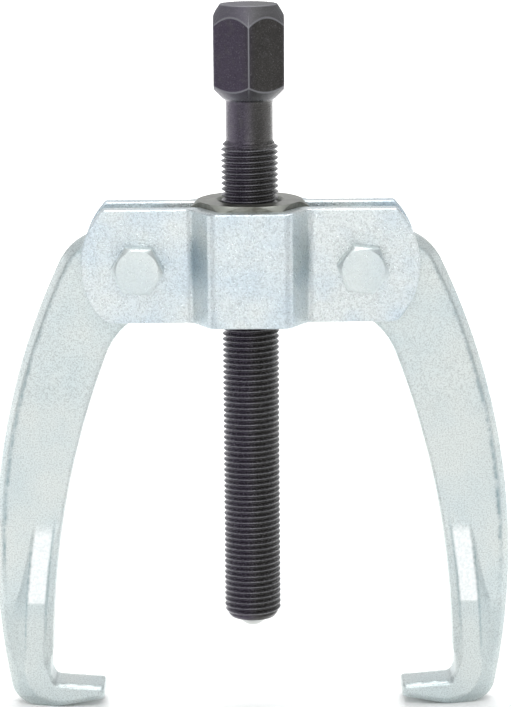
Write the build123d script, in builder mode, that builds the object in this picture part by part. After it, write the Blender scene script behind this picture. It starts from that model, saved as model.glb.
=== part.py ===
from build123d import *
from math import acos, atan2, cos, degrees, pi, radians, sqrt, tan
import os

# Two-arm gear puller. Millimetres. +Z up, front is -Y, +X to the right.
# The origin is on the spindle's axis, level with the lowest point of the claws.

# ---- Spindle: a 14 mm thread, with a 17 mm hexagon and a ball in its tip ----
THREAD_D = 13.85            # major diameter of the rolled thread
THREAD_BOTTOM = 24.4
THREAD_TOP = 141.1
TIP_D = 11.2
TIP_Z = 22.4
COLLAR_D = 11.5             # plain neck under the head
HEAD_FLATS = 17.0
HEAD_BOTTOM = 151.6
HEAD_TOP = 174.0
HEAD_TOP_FACE_D = 13.8
HEAD_TOP_CONE = 4.9         # height of the steep turned cone over the corners
HEAD_BOTTOM_FACE_D = 13.2
HEAD_OVERLAP = 1.0          # the neck runs this far into the head
BALL_D = 8.0
BALL_Z = 23.8
BALL_CLEARANCE = 0.05

# ---- Crosshead: two bent plates around a hexagon nut ----
PLATE_T = 4.0
PLATE_GAP = 8.6             # between the inner faces of the ears
PLATE_BOTTOM = 98.0
PLATE_TOP = 125.7
EAR_END = 40.85
EAR_END_RADIUS = 19.7
EAR_CORNER_RADIUS = 2.6
PLATE_EDGE_ROUND = 0.5
BEND_RADIUS = 2.7           # outside of the central bends
EAR_BEND_RADIUS = 2.0
NUT_FLATS = 25.0
NUT_BOTTOM = 97.4
NUT_TOP = 126.9
NUT_BORE = 14.0
NUT_COUNTERSINK = 1.25
NUT_FACE_D = 25.2           # turned disc left on each end by the corner chamfer
NUT_CONE = 1.9              # height of that chamfer at the corners
NUT_EDGE_ROUND = 1.0

# ---- Pivots: M7 bolts, head in front, self-locking nut behind ----
PIVOT_X = 27.0
PIVOT_Z = 111.5
BOLT_D = 7.0
BOLT_HOLE = 7.1
BOLT_FLATS = 11.0
BOLT_HEAD_H = 4.8
BOLT_DISC_D = 10.2
BOLT_END = 16.3
BOLT_END_CHAMFER = 0.8
SEAT_D = 10.8               # flat left under a bolt's head and a lock nut
WASHER_D = 14.0
WASHER_BORE = 7.4
WASHER_T = 1.2
LOCK_NUT_BORE = 7.04
LOCK_NUT_HEX_H = 4.6
LOCK_NUT_COLLAR_D = 9.9
LOCK_NUT_H = 6.4
LOCK_NUT_EDGE = 0.6
INSERT_D = 8.8
INSERT_T = 1.4
INSERT_LIP = 0.2
BOLT_TURNS = {"left": -3.0, "right": -8.0}
NUT_TURNS = {"left": 12.0, "right": 27.0}

# ---- Legs: drop-forged, hooked inwards ----
LEG_T = 8.0
CLAW_T = 10.6
LEG_HEAD_R = 12.0
SHOULDER_R = 14.0
SHOULDER_ANGLE = 25.7       # where the shoulder leaves the back's arc
NECK_R = 17.5               # hollow under the head
OUTER_R = 170.0             # back of the leg
OUTER_MAX_X = 63.3
OUTER_MAX_Z = 38.0
INNER_R = 222.0             # inside of the leg
INNER_MAX_X = 49.8
INNER_MAX_Z = 10.0
HEEL_R = 6.5
TOE_TIP_X = 37.1
TOE_TIP_TOP = 5.2
TOE_TIP_BOTTOM = 2.2
TOE_ROOT_X = 49.0           # where the underside of the toe becomes level
HOOK_ROOT_Z = 6.2           # the hook's face falls from here to the tip
HOOK_FILLET = 1.8
LEG_BEVEL = 1.5
CLAW_BEVEL = 1.2
RIDGE_FLAT_X = 56.2         # edge of the raised face, at INNER_MAX_Z
RIDGE_SLOPE = 2.7           # width of the facet between the raised face and the shank
RIDGE_TURN_BOTTOM = -2.0
RIDGE_TURN_R = 9.0
RAMP_TOP = 46.5             # the raised face runs out here
RAMP_BOTTOM = 27.0
RAMP_SINK = 0.1

SIDES = (("left", -1), ("right", 1))
os.makedirs("parts", exist_ok=True)


def hexagon(plane, flats, height, near_disc, far_disc, far_cone=None, turn=0.0):
    """A hexagonal prism standing on a plane, its corners turned off at both ends.

    The discs are the diameters left flat, and far_cone is the height of the far cone.
    """
    corner = flats / 2 / cos(radians(30))
    near_cone = corner - near_disc / 2
    rise = tan(radians(30)) * (corner - far_disc / 2) if far_cone is None else far_cone
    side_plane = Plane(plane.origin, x_dir=plane.x_dir, z_dir=-plane.y_dir)
    with BuildPart() as prism:
        with BuildSketch(plane):
            RegularPolygon(flats / 2, 6, major_radius=False, rotation=turn)
        extrude(amount=height)
        with BuildSketch(side_plane):
            with BuildLine():
                Polyline(
                    (0, 0),
                    (near_disc / 2, 0),
                    (corner, near_cone),
                    (corner, height - rise),
                    (far_disc / 2, height),
                    (0, height),
                    close=True,
                )
            make_face()
        revolve(axis=Axis(plane.origin, plane.z_dir), mode=Mode.INTERSECT)
    return prism.part


def along_y(x, z, y, backwards=False):
    """A plane square to Y at a point: its normal points to the rear, or to the front."""
    if backwards:
        return Plane((x, y, z), x_dir=(1, 0, 0), z_dir=(0, -1, 0))
    return Plane((x, y, z), x_dir=(-1, 0, 0), z_dir=(0, 1, 0))


def is_rim(edge):
    """True for an edge that follows the outline of a plate, not its thickness or a bend."""
    start, end = edge @ 0, edge @ 1
    across = abs(start.X - end.X) < 0.01 and abs(start.Z - end.Z) < 0.01
    upright_bend = abs(start.X - end.X) < 0.01 and abs(start.Y - end.Y) < 0.01 and abs(start.X) < EAR_TOP_X
    return not across and not upright_bend


# ======== Crosshead plates ========
EAR_IN = PLATE_GAP / 2
EAR_OUT = EAR_IN + PLATE_T
NUT_HALF = NUT_FLATS / 2
FACE_OUT = NUT_HALF + PLATE_T
SLANT = tan(radians(60))
NUT_CORNER = NUT_HALF / cos(radians(30))
FACE_IN_X = NUT_CORNER / 2
FACE_OUT_X = FACE_IN_X + PLATE_T * tan(radians(30))
EAR_IN_X = NUT_CORNER - EAR_IN / SLANT
EAR_OUT_X = FACE_OUT_X + (FACE_OUT - EAR_OUT) / SLANT
PLATE_MIDDLE = (PLATE_TOP + PLATE_BOTTOM) / 2
EAR_CENTRE = EAR_END - EAR_END_RADIUS
EAR_TOP_X = EAR_CENTRE + sqrt(EAR_END_RADIUS**2 - (PLATE_TOP - PLATE_MIDDLE) ** 2)

with BuildPart() as front_plate:
    # the strip's plan: flat ears, and a 60 degree bulge that holds the nut
    with BuildSketch(Plane.XY.offset(PLATE_BOTTOM)) as plan:
        with BuildLine():
            Polyline(
                (0, -FACE_OUT),
                (FACE_OUT_X, -FACE_OUT),
                (EAR_OUT_X, -EAR_OUT),
                (EAR_END, -EAR_OUT),
                (EAR_END, -EAR_IN),
                (EAR_IN_X, -EAR_IN),
                (FACE_IN_X, -NUT_HALF),
                (0, -NUT_HALF),
                close=True,
            )
        make_face()
        for corner_x, radius in (
            (FACE_OUT_X, BEND_RADIUS),
            (EAR_OUT_X, EAR_BEND_RADIUS),
            (EAR_IN_X, EAR_BEND_RADIUS),
            (FACE_IN_X, NUT_EDGE_ROUND / 2),
        ):
            fillet(plan.vertices().filter_by_position(Axis.X, corner_x - 0.01, corner_x + 0.01), radius)
        mirror(about=Plane.YZ)
    extrude(amount=PLATE_TOP - PLATE_BOTTOM)
    # the ears' ends, as seen from the front
    with BuildSketch(Plane.XZ) as face:
        with BuildLine():
            Line((-EAR_TOP_X, PLATE_TOP), (EAR_TOP_X, PLATE_TOP))
            ThreePointArc((EAR_TOP_X, PLATE_TOP), (EAR_END, PLATE_MIDDLE), (EAR_TOP_X, PLATE_BOTTOM))
            Line((EAR_TOP_X, PLATE_BOTTOM), (-EAR_TOP_X, PLATE_BOTTOM))
            ThreePointArc((-EAR_TOP_X, PLATE_BOTTOM), (-EAR_END, PLATE_MIDDLE), (-EAR_TOP_X, PLATE_TOP))
        make_face()
        fillet(face.vertices().group_by(Axis.Y)[0], EAR_CORNER_RADIUS)
    extrude(amount=FACE_OUT + PLATE_T, mode=Mode.INTERSECT)
    # sheared edges, broken all round both faces
    rims = front_plate.faces().filter_by(Axis.Z).edges() + front_plate.edges().filter_by(GeomType.CIRCLE)
    chamfer([e for e in rims if is_rim(e)], PLATE_EDGE_ROUND)
    for _, side in SIDES:
        with Locations(along_y(side * PIVOT_X, PIVOT_Z, -EAR_OUT, backwards=True)):
            Hole(BOLT_HOLE / 2, depth=2 * PLATE_T)

with BuildPart() as rear_plate:
    mirror(front_plate.part, about=Plane.XZ)

# ======== Spindle nut ========
with BuildPart() as spindle_nut:
    add(hexagon(Plane.XY.offset(NUT_BOTTOM), NUT_FLATS, NUT_TOP - NUT_BOTTOM, NUT_FACE_D, NUT_FACE_D, NUT_CONE))
    upright = spindle_nut.edges().filter_by(Axis.Z)
    fillet(upright.filter_by(lambda e: abs(e.center().X) < NUT_HALF), NUT_EDGE_ROUND)
    with Locations((0, 0, NUT_TOP)):
        Hole(NUT_BORE / 2, depth=NUT_TOP - NUT_BOTTOM)
    bore_rims = spindle_nut.edges().filter_by(lambda e: abs(e.length - NUT_BORE * pi) < 0.01)
    chamfer(bore_rims, NUT_COUNTERSINK)

# ======== Spindle and its ball ========
THREAD_R = THREAD_D / 2
COLLAR_R = COLLAR_D / 2

with BuildPart() as spindle:
    with BuildSketch(Plane.XZ) as half:
        with BuildLine():
            Polyline(
                (0, TIP_Z),
                (TIP_D / 2, TIP_Z),
                (THREAD_R, THREAD_BOTTOM),
                (THREAD_R, THREAD_TOP - (THREAD_R - COLLAR_R)),
                (COLLAR_R, THREAD_TOP),
                (COLLAR_R, HEAD_BOTTOM + HEAD_OVERLAP),
                (0, HEAD_BOTTOM + HEAD_OVERLAP),
                close=True,
            )
        make_face()
    revolve(axis=Axis.Z)
    add(
        hexagon(
            Plane.XY.offset(HEAD_BOTTOM),
            HEAD_FLATS,
            HEAD_TOP - HEAD_BOTTOM,
            HEAD_BOTTOM_FACE_D,
            HEAD_TOP_FACE_D,
            HEAD_TOP_CONE,
            turn=30,
        )
    )
    # socket for the ball: the rim is rolled in past the ball's widest point
    with Locations((0, 0, BALL_Z)):
        Sphere(BALL_D / 2 + BALL_CLEARANCE, mode=Mode.SUBTRACT)

with BuildPart() as pressure_ball:
    with Locations((0, 0, BALL_Z)):
        Sphere(BALL_D / 2)

# ======== Legs ========
OUTER_CENTRE = Vector(OUTER_MAX_X - OUTER_R, OUTER_MAX_Z)
INNER_CENTRE = Vector(INNER_MAX_X - INNER_R, INNER_MAX_Z)
PIVOT = Vector(PIVOT_X, PIVOT_Z)


def on_circle(centre, radius, height):
    """The right-hand point of a circle at a height."""
    return Vector(centre.X + sqrt(radius**2 - (height - centre.Y) ** 2), height)


def lower_crossing(centre_a, radius_a, centre_b, radius_b):
    """The lower of the two points where two circles cross."""
    gap = (centre_b - centre_a).length
    along = (radius_a**2 - radius_b**2 + gap**2) / (2 * gap)
    aside = sqrt(radius_a**2 - along**2)
    towards = (centre_b - centre_a).normalized()
    return centre_a + towards * along + Vector(towards.Y, -towards.X) * aside


def follows_the_inside(edge):
    """True for an edge that runs down the inside of the leg."""
    ends = [Vector(end.X, end.Z) for end in (edge @ 0, edge @ 1)]
    on_the_arc = all(abs((end - INNER_CENTRE).length - INNER_R) < 0.01 for end in ends)
    return on_the_arc and edge.length > CLAW_T


# the shoulder's arc leaves the back of the leg, and a straight flank joins it to the head
back_end = OUTER_CENTRE + Vector(OUTER_R, 0).rotate(Axis.Z, SHOULDER_ANGLE)
shoulder_centre = OUTER_CENTRE + Vector(OUTER_R - SHOULDER_R, 0).rotate(Axis.Z, SHOULDER_ANGLE)
centres = PIVOT - shoulder_centre
flank = degrees(atan2(centres.Y, centres.X)) - degrees(acos((SHOULDER_R - LEG_HEAD_R) / centres.length))
flank_normal = Vector(1, 0).rotate(Axis.Z, flank)
shoulder_end = shoulder_centre + flank_normal * SHOULDER_R
head_start = PIVOT + flank_normal * LEG_HEAD_R
# the neck's hollow arc touches the head and the inside of the leg
neck_centre = lower_crossing(INNER_CENTRE, INNER_R - NECK_R, PIVOT, LEG_HEAD_R + NECK_R)
head_end = PIVOT + (neck_centre - PIVOT).normalized() * LEG_HEAD_R
neck_end = INNER_CENTRE + (neck_centre - INNER_CENTRE).normalized() * INNER_R
neck_middle_ray = ((head_end - neck_centre) + (neck_end - neck_centre)).normalized()
hook_root = on_circle(INNER_CENTRE, INNER_R, HOOK_ROOT_Z)
heel = on_circle(OUTER_CENTRE, OUTER_R, 0)

with BuildSketch(Plane.XZ) as leg_outline:
    with BuildLine():
        ThreePointArc(heel, on_circle(OUTER_CENTRE, OUTER_R, OUTER_MAX_Z), back_end)
        ThreePointArc(
            back_end,
            shoulder_centre + Vector(SHOULDER_R, 0).rotate(Axis.Z, (SHOULDER_ANGLE + flank) / 2),
            shoulder_end,
        )
        Line(shoulder_end, head_start)
        ThreePointArc(head_start, PIVOT - Vector(LEG_HEAD_R, 0), head_end)
        ThreePointArc(head_end, neck_centre + neck_middle_ray * NECK_R, neck_end)
        ThreePointArc(neck_end, on_circle(INNER_CENTRE, INNER_R, RAMP_TOP), hook_root)
        Polyline(
            hook_root,
            (TOE_TIP_X, TOE_TIP_TOP),
            (TOE_TIP_X, TOE_TIP_BOTTOM),
            (TOE_ROOT_X, 0),
            heel,
        )
    make_face()
    fillet(leg_outline.vertices().sort_by_distance((heel.X, 0))[0], HEEL_R)
    fillet(leg_outline.vertices().sort_by_distance((hook_root.X, hook_root.Y))[0], HOOK_FILLET)

# raised face of the claw: it follows the inside of the leg, turns into the toe under the heel,
# slopes down to the shank behind, and ramps down into it above
RIDGE_H = (CLAW_T - LEG_T) / 2
RIDGE_SHEAR = degrees(atan2(RIDGE_SLOPE, RIDGE_H))
FOOT_R = INNER_R + RIDGE_FLAT_X + RIDGE_SLOPE - INNER_MAX_X
foot_top = on_circle(INNER_CENTRE, FOOT_R, RAMP_TOP + 2 * RIDGE_SLOPE)
foot_bottom = on_circle(INNER_CENTRE, FOOT_R, RIDGE_TURN_BOTTOM)

with BuildSketch(Plane.XZ.offset(LEG_T / 2)) as ridge_foot:
    with BuildLine():
        ThreePointArc(foot_bottom, on_circle(INNER_CENTRE, FOOT_R, RAMP_BOTTOM), foot_top)
        Polyline(
            foot_top,
            (TOE_TIP_X - CLAW_T, foot_top.Y),
            (TOE_TIP_X - CLAW_T, foot_bottom.Y),
            foot_bottom,
        )
    make_face()
    fillet(ridge_foot.vertices().sort_by_distance((foot_bottom.X, foot_bottom.Y))[0], RIDGE_TURN_R)

with BuildPart() as claw:
    extrude(ridge_foot.sketch, amount=RIDGE_H, taper=RIDGE_SHEAR)
    # the core under the raised faces, as wide as the raised strip
    with BuildSketch(Plane.XZ):
        with Locations((RIDGE_FLAT_X - CLAW_T, 0)):
            Rectangle(2 * CLAW_T, RAMP_TOP, align=(Align.CENTER, Align.MIN))
    extrude(amount=LEG_T / 2)
    mirror(about=Plane.XZ)
    with BuildSketch(Plane.YZ):
        with BuildLine():
            Polyline(
                (0, 0),
                (CLAW_T / 2 - CLAW_BEVEL, 0),
                (CLAW_T / 2, CLAW_BEVEL),
                (CLAW_T / 2, RAMP_BOTTOM),
                (LEG_T / 2 - RAMP_SINK, RAMP_TOP),
                (0, RAMP_TOP),
                close=True,
            )
        make_face()
        mirror(about=Plane.YZ)
    extrude(amount=OUTER_MAX_X, mode=Mode.INTERSECT)
    extrude(leg_outline.sketch, amount=CLAW_T, both=True, mode=Mode.INTERSECT)
    chamfer(claw.edges().filter_by(follows_the_inside), LEG_BEVEL)

with BuildPart() as right_leg:
    extrude(leg_outline.sketch, amount=LEG_T / 2, both=True)
    long_arcs = right_leg.edges().filter_by(GeomType.CIRCLE).filter_by(lambda e: e.radius > OUTER_R - 1)
    chamfer(long_arcs, LEG_BEVEL)
    add(claw.part)
    with Locations(along_y(PIVOT_X, PIVOT_Z, -LEG_T / 2, backwards=True)):
        Hole(BOLT_HOLE / 2, depth=LEG_T)

with BuildPart() as left_leg:
    mirror(right_leg.part, about=Plane.YZ)

# ======== Everything with one of it ========
for name, piece in (
    ("front_plate", front_plate),
    ("rear_plate", rear_plate),
    ("spindle_nut", spindle_nut),
    ("spindle", spindle),
    ("pressure_ball", pressure_ball),
    ("left_leg", left_leg),
    ("right_leg", right_leg),
):
    piece.part.label = name
    export_step(piece.part, f"parts/{name}.step")

# ======== Pivot bolts, washers and self-locking nuts ========
WASHER_Y = EAR_OUT
NUT_Y = WASHER_Y + WASHER_T
for name, side in SIDES:
    pivot_x = side * PIVOT_X

    with BuildPart() as pivot_bolt:
        head_plane = along_y(pivot_x, PIVOT_Z, -EAR_OUT, backwards=True)
        add(
            hexagon(head_plane, BOLT_FLATS, BOLT_HEAD_H, SEAT_D, BOLT_DISC_D, turn=BOLT_TURNS[name])
        )
        with BuildSketch(Plane.XZ.offset(EAR_OUT)):
            with Locations((pivot_x, PIVOT_Z)):
                Circle(BOLT_D / 2)
        extrude(amount=-(EAR_OUT + BOLT_END))
        chamfer(pivot_bolt.edges().sort_by(Axis.Y)[-1], BOLT_END_CHAMFER)

    with BuildPart() as washer:
        with BuildSketch(Plane.XZ.offset(-WASHER_Y)):
            with Locations((pivot_x, PIVOT_Z)):
                Circle(WASHER_D / 2)
                Circle(WASHER_BORE / 2, mode=Mode.SUBTRACT)
        extrude(amount=-WASHER_T)

    with BuildPart() as lock_nut:
        add(
            hexagon(
                along_y(pivot_x, PIVOT_Z, NUT_Y),
                BOLT_FLATS,
                LOCK_NUT_HEX_H,
                SEAT_D,
                LOCK_NUT_COLLAR_D,
                turn=NUT_TURNS[name],
            )
        )
        with BuildSketch(Plane.XZ.offset(-NUT_Y)):
            with Locations((pivot_x, PIVOT_Z)):
                Circle(LOCK_NUT_COLLAR_D / 2)
        extrude(amount=-LOCK_NUT_H)
        chamfer(lock_nut.edges().group_by(Axis.Y)[-1], LOCK_NUT_EDGE)
        with BuildSketch(Plane.XZ.offset(-NUT_Y)):
            with Locations((pivot_x, PIVOT_Z)):
                Circle(LOCK_NUT_BORE / 2)
        extrude(amount=-LOCK_NUT_H, mode=Mode.SUBTRACT)
        with BuildSketch(Plane.XZ.offset(-(NUT_Y + LOCK_NUT_H - INSERT_LIP - INSERT_T))):
            with Locations((pivot_x, PIVOT_Z)):
                Circle(INSERT_D / 2)
        extrude(amount=-INSERT_T, mode=Mode.SUBTRACT)
        with BuildSketch(Plane.XZ.offset(-(NUT_Y + LOCK_NUT_H - INSERT_LIP))):
            with Locations((pivot_x, PIVOT_Z)):
                Circle(INSERT_D / 2 - 2 * INSERT_LIP)
        extrude(amount=-INSERT_LIP, mode=Mode.SUBTRACT)

    with BuildPart() as lock_insert:
        with BuildSketch(Plane.XZ.offset(-(NUT_Y + LOCK_NUT_H - INSERT_LIP - INSERT_T))):
            with Locations((pivot_x, PIVOT_Z)):
                Circle(INSERT_D / 2)
                Circle(LOCK_NUT_BORE / 2, mode=Mode.SUBTRACT)
        extrude(amount=-INSERT_T)

    for kind, piece in (
        ("pivot_bolt", pivot_bolt),
        ("washer", washer),
        ("lock_nut", lock_nut),
        ("lock_insert", lock_insert),
    ):
        piece.part.label = f"{name}_{kind}"
        export_step(piece.part, f"parts/{name}_{kind}.step")
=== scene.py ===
"""Looks of a two-arm gear puller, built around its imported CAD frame. Metres, +Z up, front is -Y."""

import math

import bmesh
import bpy
import numpy as np
from mathutils import Matrix, Vector, kdtree, noise


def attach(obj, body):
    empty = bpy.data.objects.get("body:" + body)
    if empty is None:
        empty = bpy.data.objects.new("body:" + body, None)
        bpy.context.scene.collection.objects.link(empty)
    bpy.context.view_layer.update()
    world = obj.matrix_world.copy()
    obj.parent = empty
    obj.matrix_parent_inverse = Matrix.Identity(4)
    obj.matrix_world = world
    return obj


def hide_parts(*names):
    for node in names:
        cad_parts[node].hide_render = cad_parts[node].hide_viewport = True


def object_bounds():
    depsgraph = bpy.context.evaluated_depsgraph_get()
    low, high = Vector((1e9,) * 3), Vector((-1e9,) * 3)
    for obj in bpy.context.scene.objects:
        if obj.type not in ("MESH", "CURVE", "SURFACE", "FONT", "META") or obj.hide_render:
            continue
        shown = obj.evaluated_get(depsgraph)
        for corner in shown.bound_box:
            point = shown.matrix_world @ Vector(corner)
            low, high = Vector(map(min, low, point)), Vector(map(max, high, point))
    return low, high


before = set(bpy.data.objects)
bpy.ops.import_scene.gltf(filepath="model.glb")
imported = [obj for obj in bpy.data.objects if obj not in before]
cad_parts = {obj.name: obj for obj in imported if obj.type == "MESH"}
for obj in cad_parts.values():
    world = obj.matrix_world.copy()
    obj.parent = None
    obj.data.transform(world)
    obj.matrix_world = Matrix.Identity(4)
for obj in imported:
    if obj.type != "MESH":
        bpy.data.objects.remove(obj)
cad_low, cad_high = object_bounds()

MM = 0.001


# ======================================================================================
# Camera, light and floor
# ======================================================================================

CAMERA_PLACE = (1.1 * MM, -692 * MM, 235.8 * MM)
CAMERA_PITCH = 12.0     # degrees below the horizon
CAMERA_ROLL = -0.42     # degrees
CAMERA_LENS = 147.4     # mm
SENSOR_HEIGHT = 36.0    # mm
NEAREST = 0.01          # nothing closer to the camera than this is drawn (m)


def make_camera():
    """The photograph's view, from the front and a little above, through a long lens."""
    data = bpy.data.cameras.new("camera")
    data.sensor_fit = "VERTICAL"
    data.sensor_height = SENSOR_HEIGHT
    data.lens = CAMERA_LENS
    data.clip_start = NEAREST
    camera = bpy.data.objects.new("camera", data)
    bpy.context.scene.collection.objects.link(camera)
    camera.location = CAMERA_PLACE
    camera.rotation_mode = "XYZ"
    level = Matrix.Rotation(math.radians(90 - CAMERA_PITCH), 3, "X")
    roll = Matrix.Rotation(math.radians(CAMERA_ROLL), 3, "Z")
    camera.rotation_euler = (level @ roll).to_euler()
    bpy.context.scene.camera = camera


def softbox(name, place, aim, size, spread, power):
    """A rectangular soft light at a place, turned towards a point, unseen by the camera."""
    data = bpy.data.lights.new(name, "AREA")
    data.shape = "RECTANGLE"
    data.size, data.size_y = size
    data.energy = power
    data.spread = math.radians(spread)
    lamp = bpy.data.objects.new(name, data)
    bpy.context.scene.collection.objects.link(lamp)
    lamp.location = place
    lamp.visible_camera = False
    direction = Vector(aim) - Vector(place)
    lamp.rotation_euler = direction.to_track_quat("-Z", "Y").to_euler()


# name, place, aim, size (all metres), spread (degrees) and power (watts)
LIGHTS = (
    ("left", (-0.75, 0.02, 0.24), (0, 0, 0.09), (0.5, 0.5), 180, 0.8),
    ("right", (0.75, 0.02, 0.24), (0, 0, 0.09), (0.5, 0.5), 180, 0.55),
    ("front", (-0.05, -1.10, 0.42), (0, 0, 0.09), (0.5, 0.5), 180, 1.5),
    ("high", (0.0, -0.75, 1.0), (0, 0, 0.09), (0.7, 0.4), 180, 3.5),
    ("lamp", (-0.01, -1.10, 0.12), (0, 0, 0.12), (0.05, 0.20), 180, 0.28),
    ("rear", (0, 2.6, 0.62), (0, 0, 0.05), (1.6, 0.5), 100, 0.6),
    ("top", (0.0, 0.55, 1.0), (0, 0.55, 0), (1.8, 1.0), 70, 7.0),
    ("behind", (0, 1.8, 1.2), (0, 1.8, 0), (2.8, 1.8), 70, 24),
)
SKY_STRENGTH = 0.60
SKY_COLOUR = (0.97, 0.985, 1.0, 1)


def make_studio():
    """The soft lights and the pale surroundings."""
    for name, place, aim, size, spread, power in LIGHTS:
        softbox(name, place, aim, size, spread, power)
    world = bpy.data.worlds.new("studio")
    world.use_nodes = True
    background = world.node_tree.nodes["Background"]
    background.inputs["Color"].default_value = SKY_COLOUR
    background.inputs["Strength"].default_value = SKY_STRENGTH
    bpy.context.scene.world = world
    bpy.context.scene.view_settings.view_transform = "Standard"


FLOOR_R = 3.4
FLOOR_CORNERS = 96
FLOOR_COLOUR = (0.985, 0.985, 0.98, 1)


def make_floor():
    """A plain pale floor, a wide disc."""
    turns = [2 * math.pi * i / FLOOR_CORNERS for i in range(FLOOR_CORNERS)]
    rim = [(FLOOR_R * math.cos(t), FLOOR_R * math.sin(t), 0) for t in turns]
    mesh = bpy.data.meshes.new("floor")
    mesh.from_pydata(rim, [], [tuple(range(FLOOR_CORNERS))])
    floor = bpy.data.objects.new("floor", mesh)
    bpy.context.scene.collection.objects.link(floor)
    material = bpy.data.materials.new("pale_floor")
    material.use_nodes = True
    shader = material.node_tree.nodes["Principled BSDF"]
    shader.inputs["Base Color"].default_value = FLOOR_COLOUR
    shader.inputs["Roughness"].default_value = 0.9
    shader.inputs["Specular IOR Level"].default_value = 0.1
    mesh.materials.append(material)


# ======================================================================================
# Materials
# ======================================================================================

class Nodes:
    """A short way to write a material's node tree."""

    def __init__(self, name):
        self.material = bpy.data.materials.new(name)
        self.material.use_nodes = True
        self.tree = self.material.node_tree
        self.shader = self.tree.nodes["Principled BSDF"]
        self.coords = self.add("ShaderNodeTexCoord").outputs["Object"]

    def add(self, kind, **inputs):
        """A new node, its inputs given by their names with _ for a space."""
        node = self.tree.nodes.new(kind)
        for key, value in inputs.items():
            self.put(node.inputs[key.replace("_", " ")], value)
        return node

    def put(self, socket, value):
        """Links an output to an input, or sets the input's own value."""
        if isinstance(value, bpy.types.NodeSocket):
            self.tree.links.new(value, socket)
        else:
            socket.default_value = value

    def set(self, name, value):
        """Puts a value on the shader itself."""
        self.put(self.shader.inputs[name], value)

    def noise(self, size, detail=2.0, roughness=0.5):
        """Noise whose features are about size metres across."""
        node = self.add(
            "ShaderNodeTexNoise", Vector=self.coords, Scale=1.0 / size, Detail=detail, Roughness=roughness
        )
        return node.outputs["Fac"]

    def ramp(self, factor, *stops):
        """A colour ramp; each stop is a position and a grey level or a colour."""
        node = self.add("ShaderNodeValToRGB", Fac=factor)
        elements = node.color_ramp.elements
        while len(elements) < len(stops):
            elements.new(0.5)
        for element, (position, value) in zip(elements, stops):
            element.position = position
            colour = (value,) * 3 if isinstance(value, (int, float)) else value
            element.color = (*colour, 1)
        return node.outputs["Color"]

    def mix(self, factor, a, b, kind="MIX"):
        """Colour a where the factor is 0 and b where it is 1."""
        node = self.tree.nodes.new("ShaderNodeMix")
        node.data_type = "RGBA"
        node.blend_type = kind
        self.put(node.inputs[0], factor)
        for socket, value in ((node.inputs[6], a), (node.inputs[7], b)):
            if isinstance(value, tuple):
                value = (*value, 1)
            self.put(socket, value)
        return node.outputs[2]

    def level(self, factor, low, high):
        """A factor from 0 to 1 made to run from low to high."""
        node = self.add("ShaderNodeMapRange", Value=factor)
        node.inputs["To Min"].default_value = low
        node.inputs["To Max"].default_value = high
        return node.outputs["Result"]

    def attribute(self, name):
        """A value that the mesh stores at its points."""
        node = self.tree.nodes.new("ShaderNodeAttribute")
        node.attribute_name = name
        return node.outputs["Fac"]

    def bump(self, *layers):
        """Layers of bump, each a height factor and its depth in metres."""
        normal = None
        for height, depth in layers:
            node = self.add("ShaderNodeBump", Height=height, Distance=depth)
            if normal is not None:
                self.put(node.inputs["Normal"], normal)
            normal = node.outputs["Normal"]
        self.set("Normal", normal)
        return normal


# painted shade in the legs' trimmed seams, along the claw strip's edges and on the facet beside the strip
PAINTED_SHADE_TINT = (0.20, 0.29, 0.32)
# painted light on the claw strip's ramp, which tilts up towards the light: paler than the zinc, from its
# darker to its paler mottles; the die pressed it flat
RAMP_LIGHT_DARK, RAMP_LIGHT_PALE = (0.74, 0.78, 0.78), (0.86, 0.88, 0.88)


def zinc(name, pale, blue, grain_size, grain_depth, roughness, speckle=0.70, marked=False):
    """Pale zinc plating over blasted steel: fine grain, drifting blue and milky tints.

    speckle is how dark the grain's pits are, and a marked piece gets painted shade in its creases and on the
    claw's facet, and painted light on the claw's ramp.
    """
    n = Nodes(name)
    drift = n.noise(14 * MM, detail=3)
    grain = n.noise(grain_size, detail=2, roughness=0.6)
    pits = n.noise(1.9 * grain_size, detail=1)
    tint = n.mix(n.ramp(drift, (0.38, 0.0), (0.66, 1.0)), pale, blue)
    colour = n.mix(1.0, tint, n.ramp(grain, (0.32, speckle), (0.56, 1.0)), "MULTIPLY")
    rough = n.level(pits, roughness - 0.08, roughness + 0.08)
    if marked:
        # painted shade: darker in the seams, along the strip's edges and on the tilted facet
        colour = n.mix(n.attribute("painted_crease_shade"), colour, PAINTED_SHADE_TINT)
        # painted light: the ramp paler, as lit from above, and mottled
        ramp_light_colour = n.mix(n.ramp(pits, (0.35, 0.0), (0.65, 1.0)), RAMP_LIGHT_DARK, RAMP_LIGHT_PALE)
        colour = n.mix(n.attribute("painted_ramp_light"), colour, ramp_light_colour)
    n.set("Base Color", colour)
    n.set("Metallic", 0.92)
    n.set("Roughness", rough)
    n.bump((pits, 0.5 * grain_depth), (grain, grain_depth))
    return n.material


# the lit side's purples, and darker browns painted as shade on the other side
OXIDE_LIT_PURPLES = (0.060, 0.048, 0.076), (0.082, 0.068, 0.098)
OXIDE_SHADED_BROWNS = (0.038, 0.036, 0.034), (0.070, 0.066, 0.062)
OXIDE_STAIN = (0.10, 0.095, 0.10)
OXIDE_PAINTED_GLINT = (0.13, 0.125, 0.135)
OXIDE_WEAR_AND_SHEEN = (0.24, 0.24, 0.26)
DULL = (1.0, 1.0, 1.0)


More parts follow.
